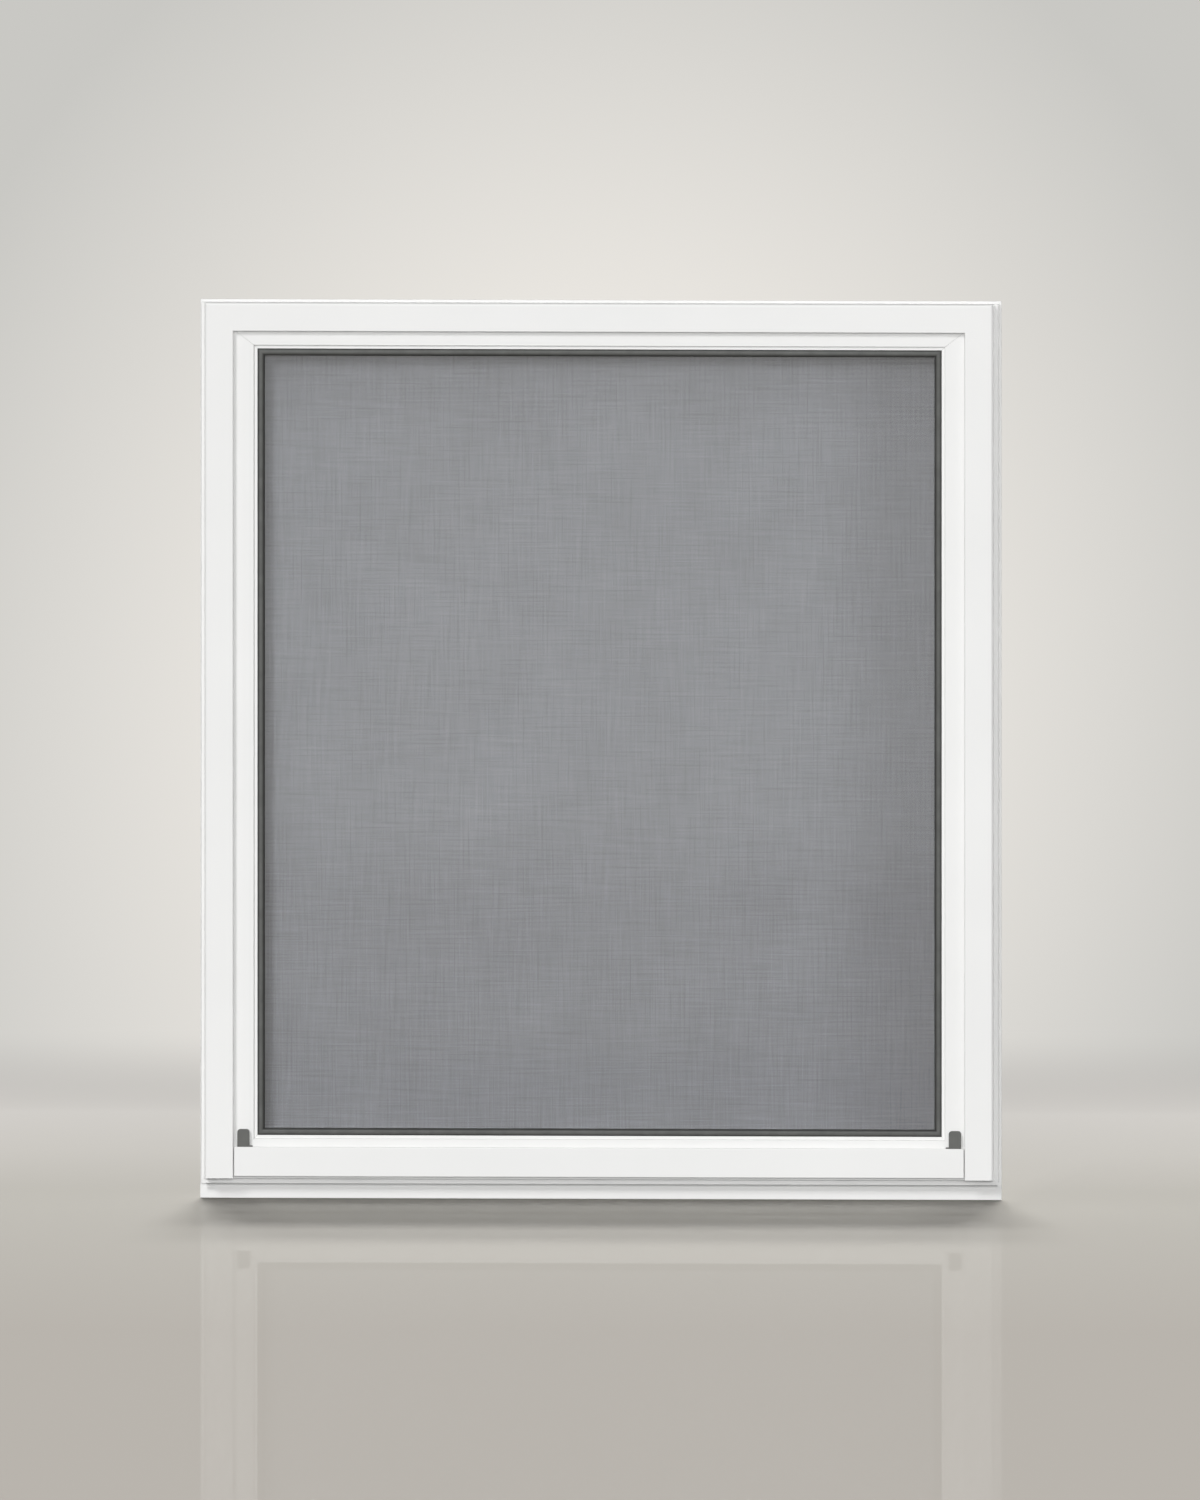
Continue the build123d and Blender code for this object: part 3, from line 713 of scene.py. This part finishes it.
class STORM_WINDOW_OT_stage(bpy.types.Operator):
    """Sets up the floor, backdrop, lamps, daylight and camera"""

    bl_idname = "storm_window.stage"
    bl_label = "Set Up the Studio"

    # Sizes and places are in metres, and rises and spreads in degrees. A light comes from its direction.
    depth_behind = 3.2
    depth_before = 26.0
    half_width = 7.0
    wall_height = 6.0
    curve = 1.0
    curve_steps = 24
    glow_rise = 0.07
    key_from = (-0.37, -0.785, 0.5)
    key_spread = 15.0
    level_from = (0.14, -0.98, 0.14)
    level_spread = 14.0
    back_places = ((-2.2, 2.0, 1.5), (2.2, 2.0, 1.5))
    back_size = (1.6, 1.2)
    floor_rises = (40.0, 52.0)
    floor_spread = 8.0
    steep_rise = 81.4
    steep_spread = 9.0
    camera_distance = 9.0

    def sweep(self, studio, aim):
        """The floor and the backdrop as one sheet with a curve between them."""
        deselect()
        middle = (self.depth_behind - self.depth_before) / 2
        bpy.ops.mesh.primitive_plane_add(size=1.0, location=(0.0, middle, 0.0))
        sheet = bpy.context.object
        sheet.scale = (2 * self.half_width, self.depth_behind + self.depth_before, 1.0)
        bpy.ops.object.transform_apply(location=True, rotation=True, scale=True)
        bpy.ops.object.mode_set(mode="EDIT")
        pick("edges", lambda centre: centre.y > self.depth_behind - CLOSE)
        extrude((0.0, 0.0, self.wall_height))
        pick("edges", lambda centre: centre.y > self.depth_behind - CLOSE and centre.z < CLOSE)
        bpy.ops.mesh.bevel(offset=self.curve, segments=self.curve_steps, affect="EDGES")
        bpy.ops.object.mode_set(mode="OBJECT")
        bpy.ops.object.shade_smooth()
        modify("WEIGHTED_NORMAL", mode="FACE_AREA", weight=100)
        sheet.name = "studio_sweep"
        back = self.depth_behind / math.cos(studio.turn)
        # Centre of the backdrop's painted glow.
        glow = (
            -self.depth_behind * math.tan(studio.turn),
            aim.z - back * math.tan(studio.rise) + self.glow_rise,
        )
        sheet.data.materials.append(studio_sweep("studio_sweep", studio, glow))
        sheet.visible_diffuse = False
        sheet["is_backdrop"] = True
        return sheet

    def lamp(self, name, place, aim, watts, wide, tall):
        """A softbox that shines towards a point and doesn't show in the picture."""
        place = Vector(place)
        turn = (Vector(aim) - place).to_track_quat("-Z", "Y").to_euler()
        bpy.ops.object.light_add(type="AREA", location=place, rotation=turn)
        lamp = bpy.context.object
        lamp.name = name
        lamp.data.shape = "RECTANGLE"
        lamp.data.size = wide
        lamp.data.size_y = tall
        lamp.data.energy = watts
        lamp.visible_camera = False
        return lamp

    def wide_light(self, name, towards, level, spread):
        """A light as even as a large far softbox, from a direction and with soft shadows."""
        turn = Vector(towards).to_track_quat("Z", "Y").to_euler()
        bpy.ops.object.light_add(type="SUN", rotation=turn)
        lamp = bpy.context.object
        lamp.name = name
        lamp.data.energy = level
        lamp.data.angle = math.radians(spread)
        return lamp

    def floor_light(self, name, studio, rise, level, spread):
        """A wide light from behind the window, at a rise, whose shadows fall towards the camera."""
        away, up = math.cos(math.radians(rise)), math.sin(math.radians(rise))
        towards = (-away * math.sin(studio.turn), away * math.cos(studio.turn), up)
        return self.wide_light(name, towards, level, spread)

    def group(self, sheet, state):
        """The floor and the backdrop as a group that a lamp leaves out, or that it is for."""
        made = bpy.data.collections.new("sweep_" + state.lower())
        made.objects.link(sheet)
        made.collection_objects[0].light_linking.link_state = state
        return made

    def daylight(self, scene, studio):
        """Even light for the window, and a pale surround where a camera looks past the backdrop."""
        world = bpy.data.worlds.new("studio_daylight")
        scene.world = world
        world.use_nodes = True
        nodes, links = world.node_tree.nodes, world.node_tree.links
        nodes.clear()
        light = nodes.new("ShaderNodeBackground")
        light.inputs["Strength"].default_value = studio.daylight
        surround = nodes.new("ShaderNodeBackground")
        surround.inputs["Color"].default_value = solid(studio.wall_edge)
        path = nodes.new("ShaderNodeLightPath")
        through = nodes.new("ShaderNodeMath")
        through.operation = "GREATER_THAN"
        links.new(path.outputs["Is Transmission Ray"], through.inputs[0])
        links.new(path.outputs["Diffuse Depth"], through.inputs[1])
        seen = nodes.new("ShaderNodeMath")
        seen.operation = "MAXIMUM"
        links.new(path.outputs["Is Camera Ray"], seen.inputs[0])
        links.new(through.outputs["Value"], seen.inputs[1])
        both = nodes.new("ShaderNodeMixShader")
        links.new(seen.outputs["Value"], both.inputs[0])
        links.new(light.outputs[0], both.inputs[1])
        links.new(surround.outputs[0], both.inputs[2])
        out = nodes.new("ShaderNodeOutputWorld")
        links.new(both.outputs[0], out.inputs["Surface"])

    def camera(self, scene, studio, aim):
        """A long view of the front, a little from the right and from above."""
        back = Vector(
            (
                math.sin(studio.turn) * math.cos(studio.rise),
                -math.cos(studio.turn) * math.cos(studio.rise),
                math.sin(studio.rise),
            )
        )
        turn = (-back).to_track_quat("-Z", "Y").to_euler()
        bpy.ops.object.camera_add(location=aim + back * self.camera_distance, rotation=turn)
        camera = bpy.context.object
        camera.name = "studio_camera"
        camera.data.type = "ORTHO"
        camera.data.ortho_scale = studio.view_height
        scene.camera = camera

    def execute(self, context):
        scene = context.scene
        studio = scene.storm_window.studio
        low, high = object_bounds()
        aim = (low + high) / 2
        sheet = self.sweep(studio, aim)
        deselect()
        key = self.wide_light("key_light", self.key_from, studio.key_light, self.key_spread)
        level = self.wide_light("level_light", self.level_from, studio.level_light, self.level_spread)
        behind = [
            self.lamp("back_softbox", place, aim, studio.back_power, *self.back_size)
            for place in self.back_places
        ]
        for lamp in (level, *behind):
            lamp.visible_glossy = False
            lamp.visible_transmission = False
        overhead = [
            self.floor_light("floor_light", studio, rise, studio.floor_light, self.floor_spread)
            for rise in self.floor_rises
        ]
        overhead.append(
            self.floor_light("steep_light", studio, self.steep_rise, studio.steep_light, self.steep_spread)
        )
        not_sweep = self.group(sheet, "EXCLUDE")
        only_sweep = self.group(sheet, "INCLUDE")
        for lamp in (key, level, *behind):
            lamp.light_linking.receiver_collection = not_sweep
        for lamp in overhead:
            lamp.light_linking.blocker_collection = not_sweep
            lamp.light_linking.receiver_collection = only_sweep
        self.daylight(scene, studio)
        self.camera(scene, studio, aim)
        scene.view_settings.view_transform = "Standard"
        return {"FINISHED"}


class STORM_WINDOW_PT_sidebar(bpy.types.Panel):
    """Lists the steps and the settings of the storm window"""

    bl_label = "Storm Window"
    bl_idname = "STORM_WINDOW_PT_sidebar"
    bl_space_type = "VIEW_3D"
    bl_region_type = "UI"
    bl_category = "Storm Window"

    def draw(self, context):
        settings = context.scene.storm_window
        steps = self.layout.column(align=True)
        for step in STEPS:
            steps.operator(step.bl_idname)
        for group in (settings.sizes, settings.finishes, settings.studio):
            box = self.layout.box()
            for name in group.__annotations__:
                box.prop(group, name)


STEPS = (
    STORM_WINDOW_OT_paint,
    STORM_WINDOW_OT_glaze,
    STORM_WINDOW_OT_fittings,
    STORM_WINDOW_OT_weave,
    STORM_WINDOW_OT_brush,
    STORM_WINDOW_OT_stage,
)
CLASSES = (WindowSizes, WindowFinishes, WindowStudio, StormWindow, *STEPS, STORM_WINDOW_PT_sidebar)


def register():
    for kind in CLASSES:
        bpy.utils.register_class(kind)
    bpy.types.Scene.storm_window = PointerProperty(type=StormWindow)


def unregister():
    del bpy.types.Scene.storm_window
    for kind in reversed(CLASSES):
        bpy.utils.unregister_class(kind)


def main():
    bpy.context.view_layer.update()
    register()
    bpy.ops.storm_window.paint()
    bpy.ops.storm_window.glaze()
    bpy.ops.storm_window.fittings()
    bpy.ops.storm_window.weave()
    bpy.ops.storm_window.brush()
    bpy.ops.storm_window.stage()


if __name__ == "__main__":
    main()
